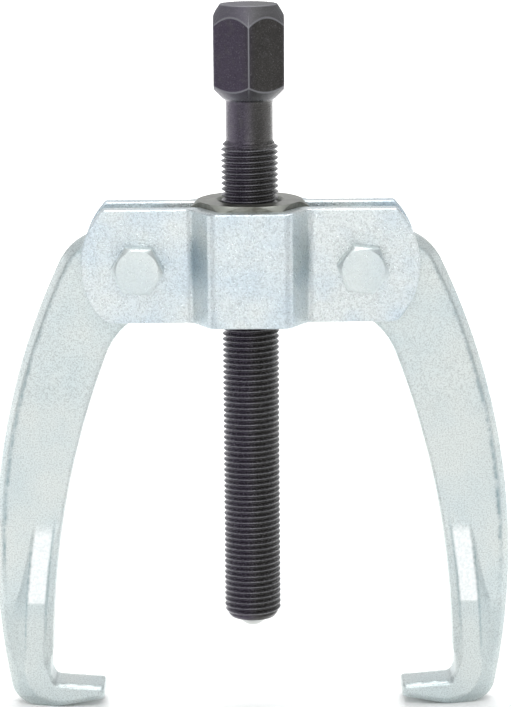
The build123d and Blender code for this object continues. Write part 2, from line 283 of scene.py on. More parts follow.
def black_oxide(name):
    """Oiled black oxide: purple on the lit side and darker brown as painted shade on the other, painted
    glints, and edges paler for wear and painted highlight.
    """
    n = Nodes(name)
    bloom = n.noise(5 * MM, detail=4, roughness=0.6)
    stain = n.noise(1.6 * MM, detail=3)
    fine = n.noise(0.30 * MM, detail=2, roughness=0.7)
    lit_purple = n.mix(bloom, *OXIDE_LIT_PURPLES)
    shaded_brown = n.mix(bloom, *OXIDE_SHADED_BROWNS)
    # painted shade: the right side darker and browner than the lit left
    tint = n.mix(n.attribute("shaded_brown"), lit_purple, shaded_brown)
    colour = n.mix(n.ramp(stain, (0.55, 0.0), (0.75, 0.5)), tint, OXIDE_STAIN)
    colour = n.mix(1.0, colour, n.ramp(fine, (0.30, 0.55), (0.70, 1.0)), "MULTIPLY")
    # painted highlights: pale glints in the fine grain
    painted_glint = n.ramp(fine, (0.62, 0.0), (0.72, 1.0))
    colour = n.mix(painted_glint, colour, OXIDE_PAINTED_GLINT)
    # wear and painted highlight: crests, corners and edges paler
    wear_and_sheen = n.mix(n.attribute("wear_and_sheen"), colour, OXIDE_WEAR_AND_SHEEN)
    n.set("Base Color", wear_and_sheen)
    n.set("Metallic", 0.75)
    # smooth on the neck and thread, duller on the forged head and its turned cone
    film = n.ramp(fine, (0.35, 0.25), (0.65, 0.60))
    n.set("Roughness", n.level(n.mix(n.attribute("turned"), film, DULL), 0.04, 0.50))
    bumps = n.bump((stain, 0.010 * MM), (fine, 0.075 * MM))
    # a film of oil on the neck and thread
    n.set("Coat Weight", n.level(n.ramp(n.attribute("turned"), (0.0, 0.0), (0.4, 1.0)), 0.4, 0.0))
    n.set("Coat Roughness", 0.16)
    n.set("Coat Normal", bumps)
    return n.material


STEEL_BROWN, STEEL_GREY = (0.085, 0.083, 0.066), (0.26, 0.26, 0.23)
# paler rounded edges, part wear and part painted highlight
STEEL_EDGE_SHEEN = (0.30, 0.31, 0.28)
# painted shade in the nut's countersink
BORE_SHADE_COLOUR = (0.012, 0.012, 0.012)


def bare_steel(name):
    """Machined steel gone dark with oil: olive-brown patches over grey, rounded edges paler for wear and
    painted highlight, and the countersink painted near black as shade.
    """
    n = Nodes(name)
    patch = n.noise(3.5 * MM, detail=4, roughness=0.65)
    fine = n.noise(0.25 * MM, detail=2)
    colour = n.mix(n.ramp(patch, (0.35, 0.0), (0.65, 1.0)), STEEL_BROWN, STEEL_GREY)
    colour = n.mix(1.0, colour, n.ramp(fine, (0.3, 0.75), (0.6, 1.0)), "MULTIPLY")
    # wear and painted highlight: the rounded edges paler
    colour = n.mix(n.attribute("rim"), colour, STEEL_EDGE_SHEEN)
    # painted shade: the countersink near black
    colour = n.mix(n.attribute("painted_bore_shade"), colour, BORE_SHADE_COLOUR)
    n.set("Base Color", colour)
    n.set("Metallic", 0.85)
    n.set("Roughness", n.level(patch, 0.26, 0.46))
    n.bump((fine, 0.012 * MM))
    return n.material


def polished_steel(name):
    """A ground bearing ball with a faint oil film."""
    n = Nodes(name)
    film = n.noise(2.5 * MM, detail=3)
    n.set("Base Color", n.mix(film, (0.46, 0.47, 0.46), (0.60, 0.61, 0.60)))
    n.set("Metallic", 1.0)
    n.set("Roughness", n.level(film, 0.12, 0.24))
    n.bump((film, 0.002 * MM))
    return n.material


def nylon(name):
    """The milky locking ring of a self-locking nut."""
    n = Nodes(name)
    cloud = n.noise(1.2 * MM, detail=2)
    n.set("Base Color", n.mix(cloud, (0.70, 0.70, 0.64), (0.80, 0.80, 0.76)))
    n.set("Roughness", n.level(cloud, 0.42, 0.55))
    n.bump((cloud, 0.01 * MM))
    return n.material


# ======================================================================================
# Mesh helpers
# ======================================================================================

def smooth_step(value, start, end):
    """0 at start and 1 at end, eased between them; works on arrays, and downwards too."""
    t = np.clip((value - start) / (end - start), 0, 1)
    return t * t * (3 - 2 * t)


WELD = 0.0005 * MM          # points closer than this are one
FLAT_ANGLE = 0.6            # faces that meet at less than this are one (degrees)
EDGE_ANGLE = 25             # edges sharper than this are rounded (degrees)


def set_attribute(mesh, name, values):
    """Stores a value at each point of a mesh, for its material."""
    mesh.attributes.new(name, "FLOAT", "POINT").data.foreach_set("value", values)


def new_piece(name, mesh, body, material, slot, *nodes):
    """Links a mesh as a piece that rides a body and stands for CAD nodes."""
    piece = bpy.data.objects.new(name, mesh)
    bpy.context.scene.collection.objects.link(piece)
    mesh.materials.clear()
    mesh.materials.append(material)
    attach(piece, body)
    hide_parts(*nodes)
    return piece


def cad_mesh(node):
    """A copy of a CAD node's mesh, with its split corners joined and its flat faces whole."""
    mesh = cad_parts[node].data.copy()
    work = bmesh.new()
    work.from_mesh(mesh)
    bmesh.ops.remove_doubles(work, verts=work.verts, dist=WELD)
    bmesh.ops.dissolve_limit(
        work, angle_limit=math.radians(FLAT_ANGLE), verts=work.verts, edges=work.edges, delimit=set()
    )
    work.to_mesh(mesh)
    work.free()
    return mesh


def apply_modifiers(piece):
    """Bakes a piece's modifiers into its mesh."""
    depsgraph = bpy.context.evaluated_depsgraph_get()
    done = bpy.data.meshes.new_from_object(piece.evaluated_get(depsgraph))
    piece.modifiers.clear()
    old = piece.data
    piece.data = done
    bpy.data.meshes.remove(old)


def edged_piece(name, node, body, material, slot, edge, segments=2):
    """A CAD node's shape with every sharp edge broken by a small round."""
    mesh = cad_mesh(node)
    piece = new_piece(name, mesh, body, material, slot, node)
    bevel = piece.modifiers.new("edges", "BEVEL")
    bevel.width = edge
    bevel.segments = segments
    bevel.limit_method = "ANGLE"
    bevel.angle_limit = math.radians(EDGE_ANGLE)
    bevel.harden_normals = True
    bevel.use_clamp_overlap = True
    apply_modifiers(piece)
    piece.data.shade_smooth()
    tidy = piece.modifiers.new("normals", "WEIGHTED_NORMAL")
    tidy.keep_sharp = True
    apply_modifiers(piece)
    return piece


# ======================================================================================
# Spindle: one skin from the ball's socket, up the thread and neck, over the hexagon
# ======================================================================================

PITCH = 1.37 * MM
THREAD_DEPTH = 0.84 * MM
# one pitch of the thread, as shares of the pitch and of the depth below the crest
THREAD_PROFILE = (
    (0.00, 0.00), (0.07, 0.03), (0.11, 0.12), (0.39, 0.93),
    (0.45, 1.00), (0.55, 1.00), (0.61, 0.93), (0.89, 0.12), (0.93, 0.03),
)
TIP_Z = 22.4 * MM
TIP_R = 5.6 * MM
CHAMFER_TOP = 24.4 * MM
THREAD_BOTTOM = TIP_Z + 0.05 * MM
THREAD_TOP = 141.1 * MM
THREAD_R = 6.925 * MM
CREST_DEPTH = 0.16 * MM     # the crest's wear and painted sheen reach down to this depth
CREST_WEAR_AND_SHEEN = 0.45
NECK_R = 5.75 * MM
HEAD_BOTTOM = 151.6 * MM
HEAD_FLATS = 17 * MM
HEAD_CORNER = HEAD_FLATS / 2 / math.cos(math.radians(30))
HEAD_SHOULDER_R = 6.6 * MM
HEAD_TOP_R = 6.9 * MM
HEAD_TOP_CONE = 4.9 * MM    # height of the cone that chamfers the head's top
HEAD_SLOPE = (HEAD_CORNER - HEAD_TOP_R) / HEAD_TOP_CONE
HEAD_CORNER_EASE = 0.12 * MM
# the head's corners and shoulder painted paler, part wear and part painted highlight
HEAD_CORNER_WEAR_AND_SHEEN = 0.9
HEAD_SHOULDER_WEAR_AND_SHEEN = 0.4
BALL_Z = 23.8 * MM
SOCKET_R = 4.05 * MM
SOCKET_START = 8            # the socket's rings, in degrees down from its top
SOCKET_RINGS = (20, 35, 50, 65, 80, 95, 108)
# the other rings, each with how worn and lit by painted sheen it is: radius and height above the tip (mm)
TIP_RINGS = ((3.80, 0.12, 0.5), (3.88, 0.02, 0.9), (4.05, 0.0, 0.6), (5.40, 0.0, 0.35), (5.55, 0.03, 0.8))
# radius and height (mm)
NECK_RINGS = (
    (5.75, 141.6, 0.0), (5.75, 145.0, 0.0), (5.75, 150.2, 0.0), (5.80, 150.75, 0.0),
    (5.95, 151.05, 0.0), (6.25, 151.3, 0.1), (6.48, 151.45, 0.3),
)
# inset from the hexagon's side and height from where a chamfer's cone meets it (mm)
HEAD_LOW_RINGS = ((0.35, -0.35, 0.2), (0.10, -0.10, 0.6), (0.02, 0.10, 0.6), (0.0, 0.35, 0.0))
HEAD_HIGH_RINGS = (
    (0.0, -0.35, 0.0), (0.02, -0.12, 0.7), (0.07, 0.12, 0.7), (0.35 * HEAD_SLOPE, 0.35, 0.25),
)
# radius and depth below the top (mm)
HEAD_TOP_RINGS = (
    (7.9, 1.56, 0.3), (7.1, 0.33, 0.25), (6.95, 0.10, 0.8), (6.80, 0.0, 0.8), (6.3, 0.0, 0.35),
    (5.0, 0.02, 0.3), (3.5, 0.0, 0.3), (1.5, 0.02, 0.3), (0.5, 0.03, 0.3),
)
SHADE_SIDE_BLEND = 2 * MM        # the lit purple and the painted shade's brown blend this far from the middle
HEAD_DULLS = (HEAD_BOTTOM - 0.5 * MM, HEAD_BOTTOM + 0.5 * MM)
TOP_DULLS = (5 * MM, 3 * MM)  # below the head's top
SKIN_WELD = 0.002 * MM
# columns in a sixth of a turn, closer together beside the hexagon's corners
SECTOR = (-30, -29.3, -28.2, -26, -22, -17, -12, -6, 0, 6, 12, 17, 22, 26, 28.2, 29.3)


def spindle_columns():
    """The angles of the skin's columns, with the hexagon's corners facing front and back."""
    return [math.radians(60 * k + offset) for k in range(6) for offset in SECTOR]


def thread_radius(z, angle):
    """The threaded rod's radius at a height and angle, with its end chamfers."""
    phase = (z / PITCH - angle / (2 * math.pi)) % 1.0
    shares = [p for p, _ in THREAD_PROFILE] + [1.0]
    depths = [d for _, d in THREAD_PROFILE] + [0.0]
    radius = THREAD_R - THREAD_DEPTH * float(np.interp(phase, shares, depths))
    if z < CHAMFER_TOP:
        radius = min(radius, TIP_R + (THREAD_R - TIP_R) * (z - TIP_Z) / (CHAMFER_TOP - TIP_Z))
    radius = min(radius, NECK_R + max(THREAD_TOP - z, 0.0))
    return radius


def hexagon_radius(angle):
    """Distance to the head's side; its corners are at the ends of each sector."""
    turn = (angle + math.radians(30)) % math.radians(60) - math.radians(30)
    return HEAD_FLATS / 2 / math.cos(turn)


def build_spindle(material):
    """The whole spindle as one skin of rings, each with a point in every column."""
    columns = spindle_columns()
    count = len(columns)
    verts, faces, wear_and_sheen = [], [], []

    def ring(points, wear_sheen=0.0):
        """Adds one ring of points, and returns its first index."""
        start = len(verts)
        verts.extend(points)
        wear_and_sheen.extend([wear_sheen] * len(points))
        return start

    def round_ring(radius, z, wear_sheen=0.0):
        """Adds a round ring."""
        return ring([(radius * math.cos(a), radius * math.sin(a), z) for a in columns], wear_sheen)

    def join(low, high):
        """Adds the faces between two rings."""
        for j in range(count):
            k = (j + 1) % count
            faces.append((low + j, low + k, high + k, high + j))

    def stack(last, rings):
        """Joins rings one after another onto the last one, and returns the final one."""
        for now in rings:
            join(last, now)
            last = now
        return last

    # socket, from its deepest ring out to the rolled rim, then the end face
    a = math.radians(SOCKET_START)
    last = round_ring(SOCKET_R * math.sin(a), BALL_Z + SOCKET_R * math.cos(a))
    faces.append(tuple(last + j for j in range(count)))
    polars = [math.radians(polar) for polar in SOCKET_RINGS]
    last = stack(last, (round_ring(SOCKET_R * math.sin(a), BALL_Z + SOCKET_R * math.cos(a)) for a in polars))
    last = stack(last, (round_ring(r * MM, TIP_Z + height * MM, wear_sheen) for r, height, wear_sheen in TIP_RINGS))

    # thread: the columns' rows follow the helix, and are squared off at both ends
    rows_per_pitch = len(THREAD_PROFILE)
    first = math.floor(THREAD_BOTTOM / PITCH) - 1
    turns = math.ceil(THREAD_TOP / PITCH) + 1 - first
    total = turns * rows_per_pitch
    base = len(verts)
    for row in range(total + 1):
        whole, part = divmod(row, rows_per_pitch)
        share = THREAD_PROFILE[part][0]
        for a in columns:
            z = (first + whole + share + a / (2 * math.pi)) * PITCH
            z = min(max(z, THREAD_BOTTOM), THREAD_TOP)
            r = thread_radius(z, a)
            # the crests painted paler, part wear and part painted highlight
            crest = max(0.0, 1.0 - (THREAD_R - r) / CREST_DEPTH)
            verts.append((r * math.cos(a), r * math.sin(a), z))
            wear_and_sheen.append(CREST_WEAR_AND_SHEEN * crest)
    # the last column joins the first one, a pitch of rows further up
    for row in range(total):
        for j in range(count):
            k = j + 1
            if k < count:
                a, b = base + row * count + k, base + (row + 1) * count + k
            elif row + rows_per_pitch < total:
                a = base + (row + rows_per_pitch) * count
                b = a + count
            else:
                continue
            faces.append((base + row * count + j, a, b, base + (row + 1) * count + j))
    bottom = round_ring(thread_radius(THREAD_BOTTOM, 0.0), THREAD_BOTTOM)
    top = round_ring(NECK_R, THREAD_TOP)
    join(last, bottom)

    # neck and its flare under the head
    last = stack(top, (round_ring(r * MM, z * MM, wear_sheen) for r, z, wear_sheen in NECK_RINGS))

    # hexagon: the chamfers meet the flats along edge loops, softened by a loop on each side
    head_top = cad_high.z

    def lower(side):
        """Height of the lower chamfer's cone at a radius."""
        return HEAD_BOTTOM + (side - HEAD_SHOULDER_R)

    def upper(side):
        """Height of the upper chamfer's cone at a radius."""
        return head_top - (side - HEAD_TOP_R) / HEAD_SLOPE

    def head_ring(inset, chamfer, shift, wear_sheen):
        """Adds a ring inset from the hexagon's sides, shifted up from where a chamfer meets them."""
        points, wear_sheens = [], []
        for a in columns:
            side = hexagon_radius(a)
            corner = max(0.0, 1 - (HEAD_CORNER - side) / HEAD_CORNER_EASE)
            r = min(side, HEAD_CORNER - HEAD_CORNER_EASE) - inset
            points.append((r * math.cos(a), r * math.sin(a), chamfer(side) + shift))
            wear_sheens.append(max(wear_sheen, HEAD_CORNER_WEAR_AND_SHEEN * corner))
        start = ring(points)
        wear_and_sheen[start:start + count] = wear_sheens
        return start

    last = stack(last, [round_ring(HEAD_SHOULDER_R, HEAD_BOTTOM, HEAD_SHOULDER_WEAR_AND_SHEEN)])
    for chamfer, rings in ((lower, HEAD_LOW_RINGS), (upper, HEAD_HIGH_RINGS)):
        last = stack(last, (head_ring(i * MM, chamfer, shift * MM, wear_sheen) for i, shift, wear_sheen in rings))
    last = stack(last, (round_ring(r * MM, head_top - depth * MM, wear_sheen) for r, depth, wear_sheen in HEAD_TOP_RINGS))
    faces.append(tuple(last + j for j in reversed(range(count))))

    mesh = bpy.data.meshes.new("spindle")
    mesh.from_pydata(verts, [], faces)
    # painted shade: the oxide is darker and brown on the right; the head is duller than the rest, and its top
    # duller still
    shaded_brown = [float(smooth_step(x, -SHADE_SIDE_BLEND, SHADE_SIDE_BLEND)) for x, _, _ in verts]
    turned = [
        float(0.5 * smooth_step(z, *HEAD_DULLS) + 0.5 * smooth_step(head_top - z, *TOP_DULLS))
        for _, _, z in verts
    ]
    set_attribute(mesh, "wear_and_sheen", wear_and_sheen)
    set_attribute(mesh, "shaded_brown", shaded_brown)
    set_attribute(mesh, "turned", turned)
    work = bmesh.new()
    work.from_mesh(mesh)
    bmesh.ops.remove_doubles(work, verts=work.verts, dist=SKIN_WELD)
    bmesh.ops.dissolve_degenerate(work, edges=work.edges, dist=SKIN_WELD / 2)
    bmesh.ops.recalc_face_normals(work, faces=work.faces)
    work.to_mesh(mesh)
    work.free()
    mesh.shade_smooth()
    return new_piece("threaded_spindle", mesh, "spindle", material, "black_oxide", "spindle")


# ======================================================================================
# Legs: the CAD forging, with rounded edges and a rough parting line
# ======================================================================================

LEG_VOXEL = 0.34 * MM
# the two long arcs of a leg's outline, both centred on the far side of the spindle (mm)
BACK_R, BACK_MAX_X, BACK_MAX_Z = 170.0, 63.3, 38.0
INSIDE_R, INSIDE_MAX_X, INSIDE_MAX_Z = 222.0, 49.8, 10.0
# half thicknesses (mm)
HEAD_HALF = 4.0
SHANK_HALF = 3.75
CLAW_HALF = 5.42
# half thicknesses at the rim, where the bevels start (mm)
RIM_HALF = 2.5
CLAW_RIM_HALF = 3.6
TOE_RIM_HALF = CLAW_HALF - 0.7
HEEL_RIM_HALF = CLAW_HALF - 1.0
NO_BEVEL = 9.0              # more than any half thickness
# how steeply the bevels rise, inwards from the rim
BACK_RISE = 0.80
HEEL_RISE = 0.85
CLAW_RISE = 0.42
CLAW_STEP_RISE = 4.0        # ... from the strip's near edge on
INSIDE_ROUND = 1.9          # width of the round along the inside (mm)
INSIDE_ROUND_RISE = 1.5     # ... and its height (mm)
# the raised strip on the claw (mm)
STRIP_OUTER = 6.6           # from the inside of the leg to the strip's far edge
STRIP_INNER = 1.7           # ... and to its near edge
STRIP_STEP = 0.22           # step down at the far edge
STRIP_STEP_WIDTH = 0.3
STRIP_TURN_R = 9.0
STRIP_TURN_X = INSIDE_MAX_X + STRIP_OUTER - STRIP_TURN_R
STRIP_TURN_Z = 10.0
RAMP_TOP = 47.2
RAMP_BOTTOM = 27.2
FACET_SLOPE = 0.40          # fall of the facet beside the strip
FACET_LIP = 1.9             # the facet falls faster in this width (mm)
FACET_LIP_SLOPE = 0.18
TAPER_TOP = 30              # the shank thins below this height (mm)
TAPER_SLOPE = 0.045
SEAM = 2.05                 # from the back of the leg to the rough trimmed seam (mm)
SEAM_WIDTH = 0.42
SEAM_DEPTH = 0.22
# noise on the legs: its frequency (per mm) and a shift that sets each kind apart
ROUGH = (1.3, 7.0)
WANDER = (0.30, 3.0)
SWELL = (0.14, 11.0)
RIPPLE = (0.8, 5.0)
SWELL_HEIGHT, RIPPLE_HEIGHT = 0.05, 0.018
SIDE_SWELL = 0.35           # share of the swell on the narrow sides
# heights between which a feature fades in, or out if the second is the lower (mm)
SHANK_TO_HEAD = (70, 88)
CLAW_TO_SHANK = (43, 50)
CLAW_TO_HOOK = (14, 7.5)
STEP_BEGINS = (12, 20)
STEP_ENDS = (RAMP_TOP - 10, RAMP_TOP - 4)
SEAM_BEGINS = (22, 44)
SEAM_WEAKENS = (72, 98)
BACK_BOTTOM = 9             # below this height (mm) the back and heel have the underside's bevel


def blend(factor, a, b):
    """a where the factor is 0 and b where it is 1."""
    return a + (b - a) * factor


def nearness(distance, width):
    """1 at no distance, and next to nothing two widths away."""
    return np.exp(-(distance / width) ** 2)


def noise_at(points, side, frequency, shift):
    """Smooth noise from -1 to 1 at points in mm, different on each side of the puller."""
    shift += side
    offset = Vector((shift, 1.7 * shift, -0.6 * shift))
    return np.array([noise.noise(Vector(p) * frequency + offset) for p in points])


def outside_arc(x, z, radius, max_x, max_z):
    """Distance outside an arc that reaches furthest right at max_x, max_z."""
    return np.hypot(x - (max_x - radius), z - max_z) - radius


def beyond_strip(x, z, from_inside):
    """Distance beyond the strip's far edge, which turns with the heel into the toe."""
    turning = np.hypot(x - STRIP_TURN_X, z - STRIP_TURN_Z) - STRIP_TURN_R
    beyond = np.where(z > STRIP_TURN_Z, from_inside - STRIP_OUTER, turning)
    on_toe = (z <= STRIP_TURN_Z) & (x < STRIP_TURN_X)
    return np.where(on_toe, STRIP_TURN_Z - STRIP_TURN_R - z, beyond)


def leg_faces(z, beyond):
    """Half thickness of the shank, of the facet beside the strip, and of the whole flat face."""
    ramp = np.clip((RAMP_TOP - z) / (RAMP_TOP - RAMP_BOTTOM), 0, 1)
    strip = SHANK_HALF + (CLAW_HALF - SHANK_HALF) * ramp
    step = STRIP_STEP * smooth_step(z, *STEP_BEGINS) * (1 - smooth_step(z, *STEP_ENDS))
    out = np.maximum(beyond, 0)
    facet = strip - step * smooth_step(out, 0, STRIP_STEP_WIDTH) - FACET_SLOPE * out
    facet = facet - FACET_LIP_SLOPE * np.minimum(out, FACET_LIP)
    shank = blend(smooth_step(z, *SHANK_TO_HEAD), SHANK_HALF, HEAD_HALF)
    shank = shank - TAPER_SLOPE * np.clip(TAPER_TOP - z, 0, TAPER_TOP)
    face = np.where(beyond <= 0, strip, np.maximum(shank, facet))
    return shank, facet, np.where(z > RAMP_TOP, shank, face)


def leg_bevels(x, z, rim, inner, is_back):
    """Half thickness left by the bevels, rim mm in from the outline."""
    back = np.where(rim > SEAM, NO_BEVEL, RIM_HALF + BACK_RISE * rim)
    inset = np.clip(rim / INSIDE_ROUND, 0, 1)
    rounding = RIM_HALF + INSIDE_ROUND_RISE * np.sqrt(inset * (2 - inset))
    shank = np.where(rim > INSIDE_ROUND, NO_BEVEL, rounding)
    claw = CLAW_RIM_HALF + CLAW_RISE * rim + CLAW_STEP_RISE * np.maximum(rim - STRIP_INNER, 0)
    toe = TOE_RIM_HALF + rim
    on_claw = 1 - smooth_step(z, *CLAW_TO_SHANK)
    inside = blend(smooth_step(z, *CLAW_TO_HOOK), blend(on_claw, shank, claw), toe)
    round_heel = smooth_step(x, STRIP_TURN_X - 2, STRIP_TURN_X + 9)
    under = blend(round_heel, HEEL_RIM_HALF, RIM_HALF) + HEEL_RISE * rim
    return np.where(is_back, back, np.where((z < BACK_BOTTOM) & ~inner, under, inside))


def trimmed_seam(z, rim, is_back, rough, wander):
    """The ragged seam along the back's bevel, from 0 to 1; it is cut in as a groove and painted dark as shade
    in it.
    """
    seam = nearness(rim - SEAM - 0.16 * rough - 0.10 * wander, SEAM_WIDTH) * is_back
    seam = seam * smooth_step(z, *SEAM_BEGINS) * (1 - 0.5 * smooth_step(z, *SEAM_WEAKENS))
    return np.clip(seam * (0.52 + 0.45 * rough + 0.45 * wander), 0, 1)


def painted_step_shade(z, rim, beyond, is_back, rough):
    """Painted shade along the strip's two edges, from 0 to 1."""
    far = nearness(beyond - 0.15, 0.32) * smooth_step(z, 8, 20)
    far = far * (1 - smooth_step(z, RAMP_TOP - 9, RAMP_TOP - 4))
    near = nearness(rim - STRIP_INNER - 0.15, 0.26) * (1 - is_back)
    near = near * (1 - smooth_step(z, *CLAW_TO_SHANK)) * smooth_step(z, 12, 24)
    return np.maximum(0.75 * far, 0.7 * near) * (0.8 + 0.5 * rough)


def painted_claw_shade(z, rim, beyond, above_shank, rough):
    """Painted shade on the facet beside the strip, which is tilted from the light, and on the strip below the
    ramp.
    """
    outside = smooth_step(beyond, 0.0, 0.5)
    high = outside * smooth_step(above_shank, -0.05, 0.12) * (1 - smooth_step(z, RAMP_TOP - 6, RAMP_TOP))
    low = outside * (1 - smooth_step(z, RAMP_BOTTOM - 4, RAMP_BOTTOM + 2))
    facet = np.maximum(high, low) * (1 - 0.5 * smooth_step(rim, 1.6, 0.6))
    strip = smooth_step(beyond, 0.0, -0.4) * (1 - smooth_step(z, RAMP_BOTTOM - 0.4, RAMP_BOTTOM + 0.1))
    on_hook = smooth_step(z, *CLAW_TO_HOOK)
    return np.maximum(0.22 * facet, (0.11 - 0.06 * on_hook) * strip) * (1 + 0.3 * rough)


def painted_ramp_light_mask(z, rim, beyond, rough):
    """Where the strip's ramp is painted paler, as lit from above, from 0 to 1; the die pressed it smooth."""
    across = smooth_step(beyond + 0.3 * rough, 0.15, -0.5) * smooth_step(rim + 0.2 * rough, 2.0, 2.5)
    up_to = 1 - smooth_step(z + 1.2 * rough, RAMP_TOP - 3.5, RAMP_TOP - 0.5)
    return across * smooth_step(z, RAMP_BOTTOM - 0.4, RAMP_BOTTOM + 0.2) * up_to


def leg_surface(x, z, rim, inner, rough, wander):
    """Half thickness of a leg (mm) at a point of its outline, its painted shade and its painted ramp light.

    rim is the distance to the nearest point of the outline, inner says if that point is inside
    the hook or on the leg's inner side, and rough and wander are noise from -1 to 1.
    """
    from_back = -outside_arc(x, z, BACK_R, BACK_MAX_X, BACK_MAX_Z)
    from_inside = outside_arc(x, z, INSIDE_R, INSIDE_MAX_X, INSIDE_MAX_Z)
    beyond = beyond_strip(x, z, from_inside)
    is_back = (from_back < from_inside - 1.0) & (z > BACK_BOTTOM)
    shank, facet, face = leg_faces(z, beyond)
    seam = trimmed_seam(z, rim, is_back, rough, wander)
    height = np.minimum(face, leg_bevels(x, z, rim, inner, is_back)) - SEAM_DEPTH * seam
    # painted shade: the seam, the strip's edges and the facet
    painted_shade = np.maximum(seam, painted_step_shade(z, rim, beyond, is_back, rough))
    painted_shade = np.maximum(painted_shade, painted_claw_shade(z, rim, beyond, facet - shank, rough))
    return height, np.clip(painted_shade, 0, 1), painted_ramp_light_mask(z, rim, beyond, rough), from_inside


FACE_RIM = 0.22             # the flat faces and their marks start this far in from the rim (mm)
FACE_HALF = RIM_HALF - 0.4  # ... and this far from the middle plane
HOOK_X, HOOK_Z = 50.6, 3.9  # the inside of the hook is left of and above this (mm)
# the inside face over the hook is set back a little (mm)
SET_BACK = 0.45
SET_BACK_LOW = (7.2, 8.6)
SET_BACK_HIGH = (13.6, 13.0)
LEG_WELD = 0.04 * MM


def forge_leg(name, node, side, material):
    """A forged leg: the CAD solid as a fine even mesh, its faces shaped by leg_surface."""
    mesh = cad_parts[node].data.copy()
    piece = new_piece(name, mesh, node, material, "zinc_forging", node)
    weld = piece.modifiers.new("weld", "WELD")
    weld.merge_threshold = WELD
    remesh = piece.modifiers.new("remesh", "REMESH")
    remesh.mode = "VOXEL"
    remesh.voxel_size = LEG_VOXEL
    smooth = piece.modifiers.new("smooth", "SMOOTH")
    smooth.factor = 0.5
    smooth.iterations = 2
    apply_modifiers(piece)
    mesh = piece.data
    count = len(mesh.vertices)
    places = np.empty(count * 3)
    mesh.vertices.foreach_get("co", places)
    places = places.reshape(-1, 3) / MM
    x, y, z = side * places[:, 0], places[:, 1], places[:, 2]

    # the outline is a strip of points around the middle plane
    outline = places[np.abs(y) < 0.6 * LEG_VOXEL / MM]
    tree = kdtree.KDTree(len(outline))
    for i, point in enumerate(outline):
        tree.insert((point[0], 0, point[2]), i)
    tree.balance()
    found = [tree.find((p[0], 0, p[2])) for p in places]
    rim = np.array([f[2] for f in found])
    # the inside of the hook, as against the heel and the underside
    inner = np.array([side * f[0].x < HOOK_X and f[0].z > HOOK_Z for f in found])

    rough = noise_at(places, side, *ROUGH)
    wander = noise_at(places, side, *WANDER)
    height, painted_shade, painted_ramp_light, from_inside = leg_surface(
        x, z, np.maximum(rim - 0.12 * wander, 0), inner, rough, wander
    )
    swell = SWELL_HEIGHT * noise_at(places, side, *SWELL)
    swell = swell + RIPPLE_HEIGHT * noise_at(places, side, *RIPPLE)
    faces = (np.abs(y) > FACE_HALF) & (rim > FACE_RIM)
    new_y = np.sign(y) * np.where(faces, height + swell, np.minimum(np.abs(y), height))
    set_back = SET_BACK * smooth_step(z, *SET_BACK_HIGH) * smooth_step(z, *SET_BACK_LOW)
    set_back = set_back * smooth_step(from_inside, 1.6, 0.2)
    places[:, 0] += side * (set_back + np.where(faces, 0, SIDE_SWELL * swell))
    places[:, 1] = new_y
    mesh.vertices.foreach_set("co", (places * MM).reshape(-1))
    # painted shade, for the zinc's material
    set_attribute(mesh, "painted_crease_shade", (painted_shade * (rim > FACE_RIM)).astype(np.float32))
    # painted light on the claw's ramp, for the zinc's material
    set_attribute(mesh, "painted_ramp_light", (painted_ramp_light * faces).astype(np.float32))
    work = bmesh.new()
    work.from_mesh(mesh)
    bmesh.ops.remove_doubles(work, verts=work.verts, dist=LEG_WELD)
    bmesh.ops.dissolve_degenerate(work, edges=work.edges, dist=LEG_WELD / 2)
    bmesh.ops.smooth_vert(
        work, verts=work.verts, factor=0.35, use_axis_x=True, use_axis_y=True, use_axis_z=True
    )
    work.to_mesh(mesh)
    work.free()
    mesh.shade_smooth()
    return piece


# ======================================================================================
# Crosshead plates: a bent strip, cut to the ears' outline
# ======================================================================================

PLATE_T = 4.0 * MM
PLATE_LOW, PLATE_HIGH = 98.0 * MM, 125.7 * MM
FACE_Y = 16.5 * MM          # outside of the central face
EAR_Y = 8.3 * MM            # outside of the ears
FACE_X = 9.526 * MM         # where the outside of the bulge turns
BULGE_ANGLE = 60            # the slanted faces turn this far from the ears (degrees)
BULGE_SLOPE = math.tan(math.radians(BULGE_ANGLE))
EAR_END = 40.85 * MM
EAR_END_R = 19.7 * MM
EAR_END_STEPS = 36
# the lower corners are cut short and eased: places in from the end and up from the bottom
LOWER_CORNER = 1.1 * MM
LOWER_EASE = ((3.2 * MM, 0.0), (1.7 * MM, 0.16 * MM), (0.6 * MM, 0.58 * MM))
OUTER_BEND_R, EAR_BEND_R = 2.9 * MM, 2.2 * MM
INNER_BEND_R = 0.5 * MM
PIVOT_X, PIVOT_Z = 27.0 * MM, 111.5 * MM
HOLE_R = 3.55 * MM
PLATE_EDGE = 0.55 * MM      # round of the plate's cut edges
PLATE_EDGE_ANGLE = 35       # ... which turn sharper than this (degrees)
PLATE_SHARP_ANGLE = 50      # edges that turn sharper than this stay sharp (degrees)
CUT_MARGIN = 2 * MM         # the bent strip is longer and higher than the plate by this
CUT_REACH = 30 * MM         # cutters reach this far to the front and the rear


def rounded(corners, steps=7):
    """A closed outline; each corner is x, y and the radius it is rounded to."""
    points = []
    for i, (x, y, radius) in enumerate(corners):
        here = Vector((x, y))
        if radius <= 0:
            points.append(here)
            continue
        before = (Vector(corners[i - 1][:2]) - here).normalized()
        after = (Vector(corners[(i + 1) % len(corners)][:2]) - here).normalized()
        half = before.angle(after) / 2
        centre = here + (before + after).normalized() * (radius / math.sin(half))
        start = here + before * (radius / math.tan(half)) - centre
        finish = here + after * (radius / math.tan(half)) - centre
        sweep = start.angle_signed(finish)
        for k in range(steps + 1):
            turn = -sweep * k / steps
            c, s = math.cos(turn), math.sin(turn)
            points.append(centre + Vector((c * start.x - s * start.y, s * start.x + c * start.y)))
    return points


